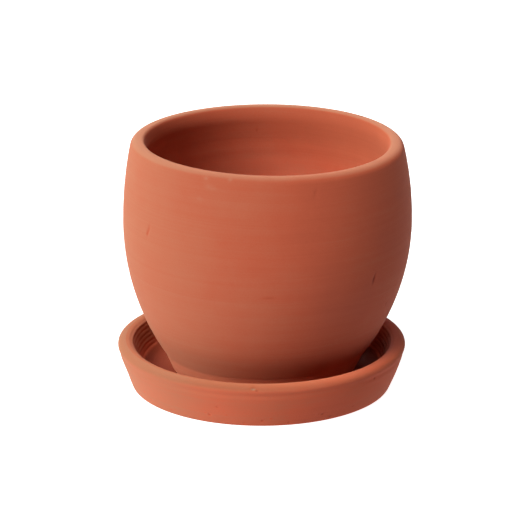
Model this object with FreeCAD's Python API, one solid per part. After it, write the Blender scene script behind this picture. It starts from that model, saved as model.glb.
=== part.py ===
"""Terracotta pot standing loose in its saucer. Millimetres, +Z up.

The origin is the middle of the saucer's flat underside. Each piece is one turned
body, drawn as half a section of (radius, height) points and revolved.
"""
import FreeCAD, Part
import math
import os

# Saucer, heights above the table
saucer_base_radius = 65.5       # where the wall would meet the underside, sharp
saucer_base_edge = 1.3          # rounding of the bottom edge
saucer_floor = 9.3              # height of the floor that the pot stands on
saucer_radius = 72.8            # outermost point of the lip
saucer_height = 23.2
saucer_lip_inside = 64.9        # innermost point of the lip
saucer_lip_edge = 2.2           # rounding of the lip's two edges
saucer_lip_crown = 6.0          # flatter round over the top of the lip
saucer_wall_bow = 130.0         # radius of the outer wall's slight swell
saucer_inner_lean = 22.0        # degrees that the inner wall leans out
saucer_corner = 4.0             # rounding between the floor and the inner wall

# Pot, heights above its own foot
mouth_radius = 60.0             # the throat, which a 12 cm nursery pot passes
throat_round = 13.0             # soft turn from the rim's inner edge to the throat
throat_lean = 20.0              # degrees from upright where that turn begins
rim_inner_edge = 2.2            # rounding of the rim's inner edge
rim_flat = 1.3                  # level width along the rim's top
rim_round = 4.2                 # rounding of the rim's outer edge
pot_height = 118.0
belly_radius = 72.3             # widest place, outside
belly_height = 76.7
wall = 8.0                      # thickness at the belly
crease_radius = 50.9            # where the trimmed foot band ends
crease_height = 9.2
foot_radius = 46.5              # where the band would meet the underside, sharp
foot_edge = 1.2                 # rounding of the foot's outer edge
base_thickness = 8.0
inside_arc = 107.0              # radius of the inside wall below the belly
inside_corner = 12.0            # rounding between the base and the inside wall
drain_radius = 7.0
drain_edge = 1.2                # rounding of both edges of the drainage hole
recess_radius = 36.0            # the underside is hollowed inside this radius
recess_depth = 1.0
pot_off_centre = 2.0            # the loose pot stands this far to +X of the middle


def unit(x, y):
    length = math.hypot(x, y)
    return (x / length, y / length)


def direction(start, end):
    return unit(end[0] - start[0], end[1] - start[1])


def along(start, heading, distance):
    return (start[0] + heading[0] * distance, start[1] + heading[1] * distance)


def other_leg(hypotenuse, leg):
    return math.sqrt(hypotenuse ** 2 - leg ** 2)


def tangent_arc(reach, rise, rounding):
    """Radius of an arc that is upright where it starts and then meets a round.

    The round's centre is reach nearer the axis than the start, and rise above or
    below it. The arc wraps a positive rounding and turns away from a negative one.
    """
    return (reach ** 2 + rise ** 2 - rounding ** 2) / (2 * (reach - rounding))


def left_meeting(first, first_radius, second, second_radius):
    """Where two circles meet, on the left of the way from first to second."""
    gap = math.dist(first, second)
    forward = (first_radius ** 2 - second_radius ** 2 + gap ** 2) / (2 * gap)
    heading = direction(first, second)
    sideways = other_leg(first_radius, forward)
    return along(along(first, heading, forward), (-heading[1], heading[0]), sideways)


def upright(point):
    """A section's (radius, height) as a point of the XZ plane."""
    return FreeCAD.Vector(point[0], 0, point[1])


class Section:
    """Half a section, drawn as a chain of lines and arcs round the clay."""

    def __init__(self, start):
        self.start = start
        self.at = start
        self.edges = []

    def line(self, end):
        self.edges.append(Part.LineSegment(upright(self.at), upright(end)).toShape())
        self.at = end

    def arc(self, centre, end):
        """The shorter arc about a centre, from here to end."""
        radius = math.dist(centre, self.at)
        first = direction(centre, self.at)
        last = direction(centre, end)
        middle = along(centre, unit(first[0] + last[0], first[1] + last[1]), radius)
        arc = Part.Arc(upright(self.at), upright(middle), upright(end))
        self.edges.append(arc.toShape())
        self.at = end

    def rounded_corner(self, corner, after, rounding):
        """A line towards a corner, then its rounding, ready for the line to after."""
        back = direction(corner, self.at)
        onward = direction(corner, after)
        half_angle = math.acos(back[0] * onward[0] + back[1] * onward[1]) / 2
        setback = rounding / math.tan(half_angle)
        bisector = unit(back[0] + onward[0], back[1] + onward[1])
        centre = along(corner, bisector, rounding / math.sin(half_angle))
        self.line(along(corner, back, setback))
        self.arc(centre, along(corner, onward, setback))

    def revolve(self):
        self.line(self.start)
        face = Part.Face(Part.Wire(self.edges))
        return face.revolve(FreeCAD.Vector(0, 0, 0), FreeCAD.Vector(0, 0, 1), 360)


def saucer():
    lip_middle = (saucer_radius + saucer_lip_inside) / 2
    crown = (lip_middle, saucer_height - saucer_lip_crown)
    outer_edge_radius = saucer_radius - saucer_lip_edge
    edge_rise = other_leg(saucer_lip_crown - saucer_lip_edge, outer_edge_radius - lip_middle)
    outer_edge = (outer_edge_radius, crown[1] + edge_rise)
    inner_edge = (saucer_lip_inside + saucer_lip_edge, crown[1] + edge_rise)

    bow = saucer_wall_bow
    bow_centre = left_meeting((saucer_base_radius, 0), bow, outer_edge, bow - saucer_lip_edge)
    drop = saucer_base_edge - bow_centre[1]
    base_edge_radius = bow_centre[0] + other_leg(bow - saucer_base_edge, drop)
    base_edge = (base_edge_radius, saucer_base_edge)

    lean = math.radians(saucer_inner_lean)
    inward = (-math.cos(lean), math.sin(lean))
    wall_top = along(inner_edge, inward, saucer_lip_edge)
    wall_run = (wall_top[1] - saucer_floor) * math.tan(lean)
    floor_corner = (wall_top[0] - wall_run, saucer_floor)

    section = Section((0, 0))
    section.line((base_edge[0], 0))
    section.arc(base_edge, along(bow_centre, direction(bow_centre, base_edge), bow))
    section.arc(bow_centre, along(bow_centre, direction(bow_centre, outer_edge), bow))
    section.arc(outer_edge, along(crown, direction(crown, outer_edge), saucer_lip_crown))
    section.arc(crown, along(crown, direction(crown, inner_edge), saucer_lip_crown))
    section.arc(inner_edge, wall_top)
    section.rounded_corner(floor_corner, (0, saucer_floor), saucer_corner)
    section.line((0, saucer_floor))
    return section.revolve()


def pot():
    lean = math.radians(throat_lean)
    inward = (-math.cos(lean), math.sin(lean))
    rim_inset = throat_round + (rim_inner_edge - throat_round) * math.cos(lean)
    rim_inner = (mouth_radius + rim_inset, pot_height - rim_inner_edge)
    rim = (rim_inner[0] + rim_flat, pot_height - rim_round)
    rim_rise = rim[1] - belly_height
    inside_radius = belly_radius - wall

    lower = tangent_arc(belly_radius - crease_radius, belly_height - crease_height, 0)
    upper = tangent_arc(belly_radius - rim[0], rim_rise, rim_round)
    shoulder = along(rim_inner, inward, rim_inner_edge)
    throat = along(shoulder, inward, -throat_round)
    hollow_reach = inside_radius - throat[0]
    hollow = tangent_arc(hollow_reach, throat[1] - belly_height, -throat_round)
    lower_centre = (belly_radius - lower, belly_height)
    upper_centre = (belly_radius - upper, belly_height)
    hollow_centre = (inside_radius - hollow, belly_height)
    inside_centre = (inside_radius - inside_arc, belly_height)

    corner_height = base_thickness + inside_corner
    corner_run = other_leg(inside_arc - inside_corner, belly_height - corner_height)
    corner = (inside_centre[0] + corner_run, corner_height)

    foot = (foot_radius, 0)
    crease = (crease_radius, crease_height)
    drain_top = (drain_radius, base_thickness)
    drain_bottom = (drain_radius, recess_depth)
    recess_edge = (recess_radius - recess_depth, recess_depth)

    section = Section((recess_radius, 0))
    section.rounded_corner(foot, crease, foot_edge)
    section.line(crease)
    section.arc(lower_centre, (belly_radius, belly_height))
    section.arc(upper_centre, along(upper_centre, direction(upper_centre, rim), upper))
    section.arc(rim, (rim[0], pot_height))
    section.line((rim_inner[0], pot_height))
    section.arc(rim_inner, shoulder)
    section.arc(throat, along(hollow_centre, direction(hollow_centre, throat), hollow))
    section.arc(hollow_centre, (inside_radius, belly_height))
    corner_heading = direction(inside_centre, corner)
    section.arc(inside_centre, along(inside_centre, corner_heading, inside_arc))
    section.arc(corner, (corner[0], base_thickness))
    section.rounded_corner(drain_top, drain_bottom, drain_edge)
    section.rounded_corner(drain_bottom, recess_edge, drain_edge)
    section.line(recess_edge)
    turned = section.revolve()
    turned.translate(FreeCAD.Vector(pot_off_centre, 0, saucer_floor))
    return turned


os.makedirs("parts", exist_ok=True)
for node, shape in (("pot", pot()), ("saucer", saucer())):
    shape.exportStep("parts/" + node + ".step")
    box = shape.optimalBoundingBox()
    print(node, "valid", shape.isValid(), "volume cm3", round(shape.Volume / 1000, 1),
          "box", [round(v, 2) for v in (box.XMin, box.XMax, box.YMin, box.YMax, box.ZMin, box.ZMax)])
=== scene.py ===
"""Terracotta pot standing loose in its saucer, as hand-finished fired clay. Metres.

Both pieces are turned bodies. Each is drawn as half a section, swept round its axis,
and then marked as clay is: turning lines, a slight lean, nicks, a chip and pits.
"""
import cmath
import math

import bpy
import numpy as np
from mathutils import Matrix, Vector

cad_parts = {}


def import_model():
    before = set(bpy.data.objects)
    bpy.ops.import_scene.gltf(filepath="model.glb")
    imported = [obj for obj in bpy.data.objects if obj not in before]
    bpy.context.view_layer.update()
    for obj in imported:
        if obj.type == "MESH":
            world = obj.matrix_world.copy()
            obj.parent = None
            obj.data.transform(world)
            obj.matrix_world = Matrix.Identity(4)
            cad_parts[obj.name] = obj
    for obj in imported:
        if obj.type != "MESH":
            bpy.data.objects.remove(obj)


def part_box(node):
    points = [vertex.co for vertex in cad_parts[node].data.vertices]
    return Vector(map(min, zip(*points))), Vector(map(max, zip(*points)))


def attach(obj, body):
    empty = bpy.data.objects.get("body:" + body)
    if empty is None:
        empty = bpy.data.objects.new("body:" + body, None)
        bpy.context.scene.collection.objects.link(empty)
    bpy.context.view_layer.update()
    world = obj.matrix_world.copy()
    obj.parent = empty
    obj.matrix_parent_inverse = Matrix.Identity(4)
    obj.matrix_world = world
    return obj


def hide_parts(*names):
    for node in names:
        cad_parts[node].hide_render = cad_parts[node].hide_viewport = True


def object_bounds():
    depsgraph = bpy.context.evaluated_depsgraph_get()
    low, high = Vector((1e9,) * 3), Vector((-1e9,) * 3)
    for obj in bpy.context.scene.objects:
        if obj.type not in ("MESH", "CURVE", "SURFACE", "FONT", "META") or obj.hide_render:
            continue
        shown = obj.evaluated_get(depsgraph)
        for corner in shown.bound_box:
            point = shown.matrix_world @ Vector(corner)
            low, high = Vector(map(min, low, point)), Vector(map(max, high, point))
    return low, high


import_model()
cad_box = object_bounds()

mm = 0.001
pot_low, pot_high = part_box("pot")
saucer_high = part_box("saucer")[1]

# Pot, heights above its own foot
pot_axis_x = (pot_low.x + pot_high.x) / 2
pot_foot_z = pot_low.z
pot_height = pot_high.z - pot_low.z
belly_radius = (pot_high.y - pot_low.y) / 2
belly_height = 76.7 * mm
wall = 8.0 * mm
mouth_radius = 60.0 * mm
throat_round = 13.0 * mm        # the soft turn from the rim's inner edge to the throat
throat_lean = 20.0              # degrees from upright where that turn begins
rim_inner_edge = 2.2 * mm
rim_flat = 1.3 * mm             # level width along the rim's top
rim_round = 4.2 * mm            # of the rim's outer edge
crease_radius = 50.9 * mm
crease_height = 9.2 * mm
foot_radius = 46.5 * mm
foot_edge = 1.2 * mm
base_thickness = 8.0 * mm
inside_arc = 107.0 * mm         # of the inside wall below the belly
inside_corner = 12.0 * mm       # between the base and the inside wall
drain_radius = 7.0 * mm
drain_edge = 1.2 * mm
recess_radius = 36.0 * mm
recess_depth = 1.0 * mm

# Saucer, heights above the table
saucer_radius = saucer_high.y
saucer_height = saucer_high.z
saucer_base_radius = 65.5 * mm
saucer_base_edge = 1.3 * mm
saucer_floor = pot_foot_z
saucer_lip_inside = 64.9 * mm
saucer_lip_edge = 2.2 * mm
saucer_lip_crown = 6.0 * mm
saucer_wall_bow = 130.0 * mm
saucer_inner_lean = 22.0        # degrees that the inner wall leans out
saucer_corner = 4.0 * mm


# ---------------------------------------------------------------- sections
def heading(start, end):
    return (end - start) / abs(end - start)


def other_leg(hypotenuse, leg):
    return math.sqrt(hypotenuse ** 2 - leg ** 2)


def tangent_arc(reach, rise, rounding):
    """Radius of an arc that is upright where it starts and then meets a round."""
    return (reach ** 2 + rise ** 2 - rounding ** 2) / (2 * (reach - rounding))


class Section:
    """Half a section as close points round the clay, each radius + height * 1j."""

    def __init__(self, start):
        self.points = [start]

    def line(self, end, step):
        start = self.points[-1]
        count = max(1, round(abs(end - start) / step))
        self.points += [start + (end - start) * k / count for k in range(1, count + 1)]

    def arc(self, centre, end, step):
        spoke = self.points[-1] - centre
        turn = cmath.phase((end - centre) / spoke)
        count = max(2, round(abs(turn * spoke) / step))
        turns = [turn * k / count for k in range(1, count + 1)]
        self.points += [centre + spoke * cmath.exp(1j * angle) for angle in turns]

    def corner(self, corner, after, rounding, step, arc_step):
        """A line towards a corner, then its rounding, ready for the line to after."""
        back = heading(corner, self.points[-1])
        onward = heading(corner, after)
        half_angle = abs(cmath.phase(onward / back)) / 2
        setback = rounding / math.tan(half_angle)
        centre = corner + heading(0, back + onward) * rounding / math.sin(half_angle)
        self.line(corner + back * setback, step)
        self.arc(centre, corner + onward * setback, arc_step)


def pot_section():
    """The pot's closed section, from under the foot round the outside and back."""
    inside_radius = belly_radius - wall
    inward = cmath.exp(1j * math.radians(180 - throat_lean))
    rim_inset = throat_round + (throat_round - rim_inner_edge) * inward.real
    rim_inner = complex(mouth_radius + rim_inset, pot_height - rim_inner_edge)
    rim = complex(rim_inner.real + rim_flat, pot_height - rim_round)

    lower = tangent_arc(belly_radius - crease_radius, belly_height - crease_height, 0)
    upper = tangent_arc(belly_radius - rim.real, rim.imag - belly_height, rim_round)
    lower_centre = complex(belly_radius - lower, belly_height)
    upper_centre = complex(belly_radius - upper, belly_height)

    shoulder = rim_inner + rim_inner_edge * inward
    throat = shoulder - throat_round * inward
    hollow_reach = inside_radius - throat.real
    hollow = tangent_arc(hollow_reach, throat.imag - belly_height, -throat_round)
    hollow_centre = complex(inside_radius - hollow, belly_height)
    throat_end = hollow_centre + hollow * heading(hollow_centre, throat)

    inside_centre = complex(inside_radius - inside_arc, belly_height)
    corner_height = base_thickness + inside_corner
    corner_run = other_leg(inside_arc - inside_corner, belly_height - corner_height)
    inside_turn = complex(inside_centre.real + corner_run, corner_height)
    inside_turn_end = inside_turn + inside_corner * heading(inside_centre, inside_turn)

    crease = complex(crease_radius, crease_height)
    drain_top = complex(drain_radius, base_thickness)
    drain_bottom = complex(drain_radius, recess_depth)
    recess_edge = complex(recess_radius - recess_depth, recess_depth)

    section = Section(complex(recess_radius, 0))
    section.corner(complex(foot_radius, 0), crease, foot_edge, 1 * mm, 0.4 * mm)
    section.line(crease, 0.6 * mm)
    section.arc(lower_centre, complex(belly_radius, belly_height), 1.1 * mm)
    section.arc(upper_centre, rim + rim_round * heading(upper_centre, rim), 1.1 * mm)
    section.arc(rim, complex(rim.real, pot_height), 0.5 * mm)
    section.line(complex(rim_inner.real, pot_height), 0.5 * mm)
    section.arc(rim_inner, shoulder, 0.35 * mm)
    section.arc(throat, throat_end, 0.8 * mm)
    section.arc(hollow_centre, complex(inside_radius, belly_height), 1.3 * mm)
    section.arc(inside_centre, inside_turn_end, 1.5 * mm)
    section.arc(inside_turn, complex(inside_turn.real, base_thickness), 1.4 * mm)
    section.corner(drain_top, drain_bottom, drain_edge, 2.2 * mm, 0.4 * mm)
    section.corner(drain_bottom, recess_edge, drain_edge, 0.8 * mm, 0.4 * mm)
    section.line(recess_edge, 0.8 * mm)
    section.line(complex(recess_radius, 0), 0.7 * mm)
    return section.points[:-1]


def saucer_section():
    """The saucer's section, from the axis under it round the lip to its floor."""
    lip_middle = (saucer_radius + saucer_lip_inside) / 2
    crown = complex(lip_middle, saucer_height - saucer_lip_crown)
    edge_reach = saucer_radius - saucer_lip_edge - lip_middle
    edge_rise = other_leg(saucer_lip_crown - saucer_lip_edge, edge_reach)
    outer_edge = crown + complex(edge_reach, edge_rise)
    inner_edge = crown + complex(-edge_reach, edge_rise)

    foot = complex(saucer_base_radius, 0)
    bow = saucer_wall_bow
    gap = abs(outer_edge - foot)
    forward = (bow ** 2 - (bow - saucer_lip_edge) ** 2 + gap ** 2) / (2 * gap)
    bow_centre = foot + heading(foot, outer_edge) * complex(forward, other_leg(bow, forward))
    drop = saucer_base_edge - bow_centre.imag
    reach = other_leg(bow - saucer_base_edge, drop)
    base_edge = complex(bow_centre.real + reach, saucer_base_edge)

    lean = math.radians(saucer_inner_lean)
    wall_top = inner_edge + saucer_lip_edge * complex(-math.cos(lean), math.sin(lean))
    wall_run = (wall_top.imag - saucer_floor) * math.tan(lean)
    floor_corner = complex(wall_top.real - wall_run, saucer_floor)
    floor_middle = complex(0, saucer_floor)

    section = Section(0j)
    section.line(complex(base_edge.real, 0), 1.3 * mm)
    section.arc(base_edge, bow_centre + bow * heading(bow_centre, base_edge), 0.3 * mm)
    section.arc(bow_centre, bow_centre + bow * heading(bow_centre, outer_edge), 0.45 * mm)
    section.arc(outer_edge, crown + saucer_lip_crown * heading(crown, outer_edge), 0.35 * mm)
    section.arc(crown, crown + saucer_lip_crown * heading(crown, inner_edge), 0.45 * mm)
    section.arc(inner_edge, wall_top, 0.35 * mm)
    section.corner(floor_corner, floor_middle, saucer_corner, 0.4 * mm, 0.4 * mm)
    section.line(complex(40 * mm, saucer_floor), 0.9 * mm)
    section.line(floor_middle, 2.4 * mm)
    return section.points


# ---------------------------------------------------------------- marks in the clay
def wrapped(angle):
    return (angle + math.pi) % (2 * math.pi) - math.pi


def smooth(low, high, value):
    """0 below low, 1 above high, and a soft step between them."""
    t = np.clip((value - low) / (high - low), 0, 1)
    return t * t * (3 - 2 * t)


class Mark:
    """One small mark on a wall: an oval of a length, width and slant.

    The azimuth is in degrees from +X towards +Y. The slant is in degrees from
    upright, leaning to the right as the wall is faced. The side is 1 for the outside
    of the wall and -1 for the inside.
    """

    def __init__(self, azimuth, height, length, width, slant=0.0, depth=0.0, tone=0.0, side=1):
        self.side = side
        self.azimuth = math.radians(azimuth)
        self.height = height
        self.length = length
        self.width = width
        self.slant = math.radians(slant)
        self.depth = depth
        self.tone = tone

    def cover(self, azimuth, body, face):
        """How strongly the mark covers each point, from 0 to 1."""
        across = wrapped(azimuth - self.azimuth) * body.real
        along = body.imag - self.height
        sideways = across * math.cos(self.slant) - along * math.sin(self.slant)
        lengthways = across * math.sin(self.slant) + along * math.cos(self.slant)
        reach = (sideways / self.width) ** 2 + (lengthways / self.length) ** 2
        return np.exp(-4 * reach) * (face.real * self.side > 0)


def azimuths(count, marks):
    """Angles all the way round, four times closer together at the marks."""
    mark_reach = 0.03
    fine = np.linspace(-math.pi, math.pi, 7201)
    density = np.ones_like(fine)
    for mark in marks:
        density += 3.0 * np.exp(-(wrapped(fine - mark.azimuth) / mark_reach) ** 2)
    total = np.concatenate([[0], np.cumsum((density[1:] + density[:-1]) / 2)])
    return np.interp(np.arange(count) / count * total[-1], total, fine)


def rings(rng, along, spacing):
    """Uneven level lines, from -1 to 1, about a spacing apart."""
    knots = np.arange(along.min() - spacing, along.max() + 2 * spacing, spacing)
    return np.interp(along, knots, rng.uniform(-1, 1, len(knots)))


def wave(distance, pitch, phase=0.0):
    return np.sin(distance / pitch * 2 * math.pi + phase)


def swell(centre, reach, value):
    """1 at the centre, fading smoothly to nothing beyond the reach."""
    return np.exp(-(((value - centre) / reach) ** 2) * 2)


# ---------------------------------------------------------------- meshes
def swept(name, section, angles, place, layers):
    """Sweeps a section round the axis, closed or with both ends on the axis.

    place() gives the points' x, y and z, and layers() their material attributes. Both
    take the angles, the section, the way its surface faces and the distance along it.
    """
    points = np.array(section)
    closed = abs(points[0].real) > 1e-9
    if closed:
        tangent = np.roll(points, -1) - np.roll(points, 1)
    else:
        tangent = np.gradient(points)
    normal = -1j * tangent / abs(tangent)
    along = np.cumsum(abs(np.diff(points, prepend=points[:1])))
    turn = angles[:, None]
    body = np.broadcast_to(points, (len(angles), len(points)))
    face = np.broadcast_to(normal, body.shape)
    x, y, z = place(turn, body, face, along)
    grid = np.arange(body.size).reshape(body.shape)
    if not closed:
        # Each end's ring is one point on the axis.
        for end in (0, -1):
            x[:, end] = x[:, end].mean()
            y[:, end] = 0
            grid[:, end] = grid[0, end]
    beside = np.roll(grid, -1, axis=0)
    if closed:
        above, beside_above = np.roll(grid, -1, axis=1), np.roll(beside, -1, axis=1)
    else:
        grid, above = grid[:, :-1], grid[:, 1:]
        beside, beside_above = beside[:, :-1], beside[:, 1:]
    quads = np.stack([grid, beside, beside_above, above], axis=-1)
    used, quads = np.unique(quads, return_inverse=True)
    faces = [list(dict.fromkeys(quad)) for quad in quads.reshape(-1, 4).tolist()]
    vertices = np.stack([x, y, z], axis=-1).reshape(-1, 3)

    mesh = bpy.data.meshes.new(name)
    mesh.from_pydata(vertices[used].tolist(), [], faces)
    mesh.shade_smooth()
    for label, values in layers(turn, body, face, along).items():
        layer = mesh.attributes.new(label, "FLOAT", "POINT")
        flat = np.broadcast_to(values, body.shape).reshape(-1)[used]
        layer.data.foreach_set("value", flat.astype(np.float32))
    piece = bpy.data.objects.new(name, mesh)
    bpy.context.scene.collection.objects.link(piece)
    return piece


pot_marks = [
    Mark(-143.6, 84.0 * mm, 5.4 * mm, 1.3 * mm, slant=18, depth=0.3 * mm, tone=-0.5),
    Mark(-144.6, 82.4 * mm, 1.8 * mm, 1.1 * mm, slant=18, depth=0.15 * mm, tone=-0.8),
    Mark(-42.9, 61.3 * mm, 4.4 * mm, 1.1 * mm, slant=15, depth=0.5 * mm, tone=-1.8),
    Mark(-70.6, 110.6 * mm, 4.2 * mm, 1.5 * mm, slant=24, depth=0.14 * mm, tone=-0.35),
    Mark(-28.6, 42.5 * mm, 1.3 * mm, 1.2 * mm, depth=0.15 * mm, tone=-0.9),
    Mark(-89.5, 59.1 * mm, 0.9 * mm, 5.4 * mm, depth=0.06 * mm, tone=-0.5),
    Mark(-115.7, 115.8 * mm, 1.5 * mm, 2.4 * mm, tone=0.5),
    Mark(-105.3, 116.4 * mm, 1.4 * mm, 2.0 * mm, tone=0.6),
    Mark(-114.2, 112.1 * mm, 2.2 * mm, 4.2 * mm, slant=8, tone=0.3),
    Mark(-111.8, 111.5 * mm, 1.8 * mm, 3.4 * mm, slant=8, tone=0.25),
    Mark(-117.8, 105.8 * mm, 1.8 * mm, 3.8 * mm, slant=8, tone=0.25),
    Mark(95.2, 105.6 * mm, 1.2 * mm, 1.2 * mm, depth=0.15 * mm, tone=-0.9, side=-1),
]
saucer_marks = [
    Mark(-93.4, 22.2 * mm, 1.7 * mm, 2.8 * mm, depth=0.12 * mm, tone=-0.5),
    Mark(-93.3, 21.9 * mm, 0.8 * mm, 1.9 * mm, depth=0.5 * mm, tone=2.2),
    Mark(-92.0, 21.2 * mm, 0.9 * mm, 1.4 * mm, depth=0.1 * mm, tone=-0.9),
    Mark(-38.9, 17.4 * mm, 1.1 * mm, 1.1 * mm, depth=0.3 * mm, tone=-1.2),
    Mark(-112.2, 4.9 * mm, 1.1 * mm, 1.2 * mm, depth=0.35 * mm, tone=-0.9),
    Mark(-108.4, 10.1 * mm, 1.0 * mm, 1.0 * mm, depth=0.3 * mm, tone=-0.8),
    Mark(-89.9, 3.3 * mm, 1.0 * mm, 1.3 * mm, depth=0.35 * mm, tone=-0.9),
    Mark(-63.7, 4.3 * mm, 1.0 * mm, 1.2 * mm, depth=0.35 * mm, tone=-0.9),
]


def pit(rng, azimuth):
    """A small pit near the saucer's bottom edge."""
    azimuth = azimuth + rng.uniform(-4, 4)
    height = rng.uniform(1.2, 6.5) * mm
    length = rng.uniform(0.5, 0.9) * mm
    width = rng.uniform(0.6, 1.2) * mm
    depth = rng.uniform(0.15, 0.4) * mm
    return Mark(azimuth, height, length, width, depth=depth, tone=rng.uniform(-1.3, 0.6))


pit_rng = np.random.default_rng(7)
saucer_marks += [pit(pit_rng, azimuth) for azimuth in range(-177, 180, 9)]


def towards(azimuth, turn):
    """1 at an azimuth in degrees, falling to 0 a quarter turn away from it."""
    return np.clip(np.cos(turn - math.radians(azimuth)), 0, 1)


def painted_lit_side(turn, face):
    """Painted light: the left of the outside, the lit side, is painted paler, as a lit side
    looks washed out.
    """
    return 0.45 * towards(195, turn) * (face.real > 0)


def place_pot(turn, body, face, along):
    """Where the pot's points lie, with the lean and unevenness of hand work."""
    rng = np.random.default_rng(11)
    outside = smooth(0.2, 0.6, face.real)
    inside = smooth(0.2, 0.6, -face.real)
    beneath = smooth(0.6, 0.9, -face.imag) * (body.imag < base_thickness)
    height = body.imag
    risen = height / pot_height
    turning = 0.03 * mm * rings(rng, along, 3.4 * mm)
    trimming = 0.04 * mm * rings(rng, along, 1.2 * mm)
    relief = turning * (outside + 1.6 * inside)
    relief = relief + 0.05 * mm * wave(height, 9.5 * mm, turn) * inside
    relief = relief + trimming * outside * (height < crease_height)
    relief = relief + 0.06 * mm * wave(body.real, 3.2 * mm) * beneath
    for mark in pot_marks:
        relief = relief - mark.depth * mark.cover(turn, body, face)
    out_of_round = 0.12 * mm * np.sin(2 * turn) * risen
    drawn_in = 0.12 * mm * swell(36 * mm, 26 * mm, height)
    radius = body.real + relief * face.real + out_of_round - drawn_in
    lean = (-0.9 + 4.9 * risen - 3.3 * risen ** 2) * mm
    dip = 0.08 - 0.78 * np.cos(turn) - 0.2 * np.sin(turn) + 0.27 * np.sin(2 * turn)
    uneven_rim = dip * mm * smooth(0.5, 1.0, risen)
    x = pot_axis_x + radius * np.cos(turn) + lean
    y = radius * np.sin(turn)
    z = pot_foot_z + height + relief * face.imag + uneven_rim
    return x, y, z


def pot_layers(turn, body, face, along):
    """A tone from -2, deep, to 1, pale, with a painted highlight on the upward-facing rim and
    painted light on the lower inside and the lit left; the patch is painted bounce light, a
    redder inside at the back.
    """
    tone = sum(mark.tone * mark.cover(turn, body, face) for mark in pot_marks)
    # Painted highlight: surfaces above the belly that face upwards are painted paler, more so
    # towards the back.
    rim = smooth(0.55, 0.95, face.imag) * (body.imag > belly_height)
    rim = rim * (0.85 + 0.15 * np.sin(turn))
    # Painted light: the inside below the belly is painted paler, and redder at the back as
    # painted bounce light.
    painted_inside_light = smooth(0.2, 0.6, -face.real) * (1 - smooth(72 * mm, 104 * mm, body.imag))
    tone = tone + rim + 0.35 * painted_inside_light + painted_lit_side(turn, face)
    return {"along": along, "tone": tone, "patch": 0.6 * painted_inside_light * towards(85, turn)}


def place_saucer(turn, body, face, along):
    """Where the saucer's points lie, with ribs inside and a waist outside."""
    rng = np.random.default_rng(23)
    outside = smooth(0.2, 0.6, face.real)
    inside = smooth(0.2, 0.6, -face.real)
    height = body.imag
    low = 1 - smooth(0, 14 * mm, height)
    beneath = smooth(0.6, 0.9, -face.imag) * (height < 1 * mm) * (body.real < 60 * mm)
    ribs = (0.5 + 0.5 * wave(along, 2.2 * mm)) ** 3
    waist = (0.15 - 0.15 * np.cos(turn)) * swell(8 * mm, 6 * mm, height)
    groove = 0.15 * swell(18 * mm, 1.6 * mm, height)
    relief = 0.03 * mm * rings(rng, along, 2.0 * mm) * (outside + inside)
    relief = relief - 0.3 * mm * ribs * inside
    relief = relief - 0.08 * mm * (1 + wave(body.real, 5.2 * mm)) * beneath
    relief = relief - (waist + groove) * mm * outside
    for mark in saucer_marks:
        relief = relief - mark.depth * mark.cover(turn, body, face)
    flattened = 0.12 * mm * (1 + np.cos(turn)) * outside
    shifted_base = 0.2 * mm * low * outside * np.cos(turn + 2.8)
    radius = body.real + relief * face.real - flattened + shifted_base
    x = radius * np.cos(turn)
    y = radius * np.sin(turn)
    z = height + relief * face.imag
    return x, y, z


def saucer_layers(turn, body, face, along):
    """A tone from -2, deep, to 1, pale, or 2.2, fresh, with painted shade on the floor and
    painted light on the lit left; the patch is painted shade, a browner lip mostly on the lit
    left and front.
    """
    tone = sum(mark.tone * mark.cover(turn, body, face) for mark in saucer_marks)
    corner_top = saucer_floor + saucer_corner
    # Painted shade: the saucer's floor around the pot is painted darker.
    painted_floor_shade = smooth(0.7, 1.0, face.imag) * (body.imag < corner_top)
    # Painted shade: the lip is painted browner and less red, mostly on its lit left and front.
    lip = smooth(-0.35, 0.7, face.imag) * (body.imag > corner_top)
    tone = tone - 1.5 * painted_floor_shade + painted_lit_side(turn, face)
    return {"along": along, "tone": tone, "patch": lip * np.clip(0.9 - 0.7 * np.cos(turn), 0, 1)}


# ---------------------------------------------------------------- fired clay
class Graph:
    """Adds nodes to a material. An input is a number, a colour or another node's output."""

    def __init__(self, name):
        self.material = bpy.data.materials.new(name)
        self.material.use_nodes = True
        self.tree = self.material.node_tree
        self.tree.nodes.clear()

    def add(self, kind, inputs, **settings):
        node = self.tree.nodes.new("ShaderNode" + kind)
        for name, value in settings.items():
            setattr(node, name, value)
        for name, value in inputs.items():
            if isinstance(value, bpy.types.NodeSocket):
                self.tree.links.new(value, node.inputs[name])
            else:
                node.inputs[name].default_value = value
        return node

    def maths(self, operation, first, second=0.0):
        return self.add("Math", {0: first, 1: second}, operation=operation).outputs[0]

    def noise(self, vector, scale=1.0, detail=2.0, roughness=0.5):
        inputs = {"Vector": vector, "Scale": scale, "Detail": detail, "Roughness": roughness}
        return self.add("TexNoise", inputs).outputs["Fac"]

    def spread(self, value, low, high, to_low, to_high):
        inputs = {0: value, 1: low, 2: high, 3: to_low, 4: to_high}
        return self.add("MapRange", inputs).outputs[0]

    def tint(self, amount, colour, other):
        """From colour to other by amount."""
        inputs = {0: amount, 6: colour, 7: other}       # 6, 7 and output 2 are the colours
        return self.add("Mix", inputs, data_type="RGBA").outputs[2]


fresh_clay = (0.85, 0.38, 0.24, 1)


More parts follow.
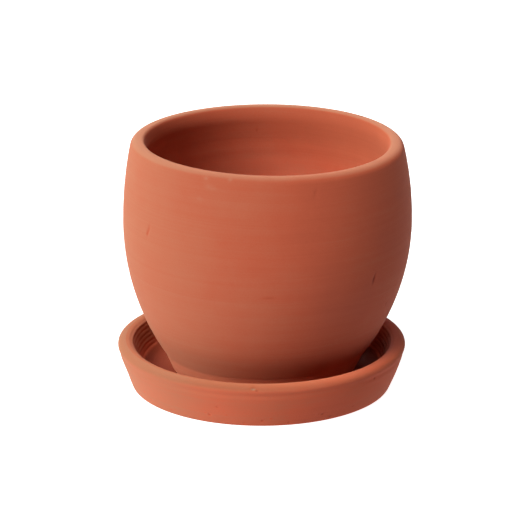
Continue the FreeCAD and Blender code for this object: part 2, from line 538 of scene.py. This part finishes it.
def clay(name, pale, mean, deep, painted_shading_colour):
    """Matte unglazed clay: clouded colour, turning lines, grit and marks."""
    graph = Graph(name)
    place = graph.add("TexCoord", {}).outputs["Object"]
    along = graph.add("Attribute", {}, attribute_name="along").outputs["Fac"]
    tone = graph.add("Attribute", {}, attribute_name="tone").outputs["Fac"]
    patch = graph.add("Attribute", {}, attribute_name="patch").outputs["Fac"]
    split = graph.add("SeparateXYZ", {"Vector": place})
    drift = graph.maths("ADD", split.outputs["X"], split.outputs["Y"])

    def lines(up_the_wall, round_it):
        """Noise drawn out round the piece, in cycles per metre each way."""
        return graph.noise(graph.add("CombineXYZ", {
            "X": graph.maths("MULTIPLY", along, up_the_wall),
            "Y": graph.maths("MULTIPLY", drift, round_it)}).outputs[0])

    fine = lines(1400.0, 14.0)
    broad = lines(260.0, 9.0)
    cloud = graph.noise(place, 28.0, 3.0, 0.55)
    grit = graph.noise(place, 1500.0, 2.0, 0.6)

    shade = tone
    for noise, swing in ((cloud, 0.15), (broad, 0.06), (fine, 0.05), (grit, 0.06)):
        shade = graph.maths("ADD", shade, graph.spread(noise, 0.3, 0.7, -swing, swing))
    # Besides the marks, these mixes carry the layers' painted light and painted shade.
    colour = graph.tint(patch, mean, painted_shading_colour)
    colour = graph.tint(graph.spread(shade, 0.0, 1.0, 0.0, 1.0), colour, pale)
    colour = graph.tint(graph.spread(shade, 1.6, 2.2, 0.0, 1.0), colour, fresh_clay)
    colour = graph.tint(graph.spread(shade, 0.0, -2.0, 0.0, 1.0), colour, deep)

    bumps = graph.maths("ADD", graph.maths("MULTIPLY", fine, 0.5),
                        graph.maths("MULTIPLY", grit, 0.35))
    bump = graph.add("Bump", {"Strength": 0.35, "Distance": 0.0003, "Height": bumps})
    roughness = graph.spread(cloud, 0.3, 0.7, 0.82, 0.94)
    shader = graph.add("BsdfPrincipled", {
        "Base Color": colour,
        "Roughness": roughness,
        "Diffuse Roughness": 0.8,
        "Specular IOR Level": 0.2,
        "Sheen Weight": 0.06,
        "Sheen Roughness": 0.5,
        "Sheen Tint": (1.0, 0.78, 0.66, 1.0),
        "Normal": bump.outputs["Normal"]})
    graph.add("OutputMaterial", {"Surface": shader.outputs["BSDF"]})
    return graph.material


# ---------------------------------------------------------------- the two pieces
def finish_piece(piece, node, material):
    piece.data.materials.append(material)
    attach(piece, node)
    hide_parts(node)


# The pale colours also take the painted highlight and the painted lit side; the patched colours
# are painted bounce light inside the pot and painted shade on the saucer's lip.
pot_clay = clay(
    "pot_clay",
    pale=(0.58, 0.24, 0.145, 1),
    mean=(0.58, 0.136, 0.068, 1),
    deep=(0.26, 0.035, 0.016, 1),
    painted_shading_colour=(0.76, 0.15, 0.075, 1))
saucer_clay = clay(
    "saucer_clay",
    pale=(0.48, 0.25, 0.155, 1),
    mean=(0.73, 0.172, 0.085, 1),
    deep=(0.2, 0.025, 0.01, 1),
    painted_shading_colour=(0.53, 0.165, 0.082, 1))
pot_angles = azimuths(290, pot_marks)
saucer_angles = azimuths(400, saucer_marks)

pot = swept("pot_body", pot_section(), pot_angles, place_pot, pot_layers)
finish_piece(pot, "pot", pot_clay)
saucer = swept("saucer_body", saucer_section(), saucer_angles, place_saucer, saucer_layers)
finish_piece(saucer, "saucer", saucer_clay)


# ---------------------------------------------------------------- studio
def direction(azimuth, elevation):
    """From the object: azimuth 0 is towards the front, -Y, and 90 towards +X."""
    azimuth = math.radians(azimuth)
    elevation = math.radians(elevation)
    level = math.cos(elevation)
    return Vector((math.sin(azimuth) * level, -math.cos(azimuth) * level, math.sin(elevation)))


def sun(name, azimuth, elevation, spread, strength, colour):
    """A large soft lamp, spread degrees wide."""
    lamp = bpy.data.lights.new(name, "SUN")
    lamp.energy = strength
    lamp.angle = math.radians(spread)
    lamp.color = colour
    item = bpy.data.objects.new(name, lamp)
    item.rotation_mode = "QUATERNION"
    item.rotation_quaternion = direction(azimuth, elevation).to_track_quat("Z", "Y")
    bpy.context.scene.collection.objects.link(item)


def floor():
    """A pale table. What it sends back up on to the clay comes from world()."""
    reach = 6.0
    mesh = bpy.data.meshes.new("floor")
    corners = [(-reach, -reach, 0), (reach, -reach, 0), (reach, reach, 0), (-reach, reach, 0)]
    mesh.from_pydata(corners, [], [(0, 1, 2, 3)])
    graph = Graph("floor")
    paper = graph.add("BsdfDiffuse", {"Color": (0.75, 0.8, 0.82, 1)})
    glow = graph.add("Emission", {"Color": (1, 1, 1, 1), "Strength": 0.95})
    both = graph.add("AddShader", {0: paper.outputs[0], 1: glow.outputs[0]})
    graph.add("OutputMaterial", {"Surface": both.outputs[0]})
    mesh.materials.append(graph.material)
    item = bpy.data.objects.new("floor", mesh)
    bpy.context.scene.collection.objects.link(item)
    item.visible_diffuse = False


def world():
    """Light that a white table sends back up, strongest from straight below."""
    backdrop = bpy.data.worlds.new("studio")
    backdrop.use_nodes = True
    nodes, links = backdrop.node_tree.nodes, backdrop.node_tree.links
    bounce = nodes["Background"]
    bounce.inputs["Color"].default_value = (0.59, 0.42, 0.345, 1)
    outward = nodes.new("ShaderNodeTexCoord")
    split = nodes.new("ShaderNodeSeparateXYZ")
    below = nodes.new("ShaderNodeMapRange")
    below.inputs["From Min"].default_value = 0.0
    below.inputs["From Max"].default_value = -1.0
    below.inputs["To Min"].default_value = 0.0
    below.inputs["To Max"].default_value = 2.15
    links.new(outward.outputs["Generated"], split.inputs["Vector"])
    links.new(split.outputs["Z"], below.inputs["Value"])
    links.new(below.outputs[0], bounce.inputs["Strength"])
    bpy.context.scene.world = backdrop


def camera():
    """A long lens from 18.55 degrees above, as a product picture is taken."""
    distance = 1.7
    back = direction(0, 18.55)
    middle_height = 0.483 * cad_box[1].z
    aim = Vector((0.8 * pot_axis_x, 0, middle_height))
    item = bpy.data.objects.new("camera", bpy.data.cameras.new("camera"))
    item.data.sensor_width = 36
    item.data.lens = 229.6
    item.data.clip_end = 20
    item.location = aim + distance * back
    item.rotation_mode = "QUATERNION"
    item.rotation_quaternion = back.to_track_quat("Z", "Y")
    bpy.context.scene.collection.objects.link(item)
    bpy.context.scene.camera = item


floor()
world()
sun("key", -50, 40, 36, 3.1, (1, 0.86, 0.8))
sun("side", -86, 31, 36, 1.0, (0.3, 0.95, 0.8))
sun("top", -5, 72, 36, 0.72, (1, 0.96, 0.9))
sun("fill", 32, 42, 40, 0.12, (1, 0.5, 0.4))
sun("back", 180, 12, 40, 1.1, (1, 0.86, 0.86))
camera()
bpy.context.scene.view_settings.view_transform = "Standard"
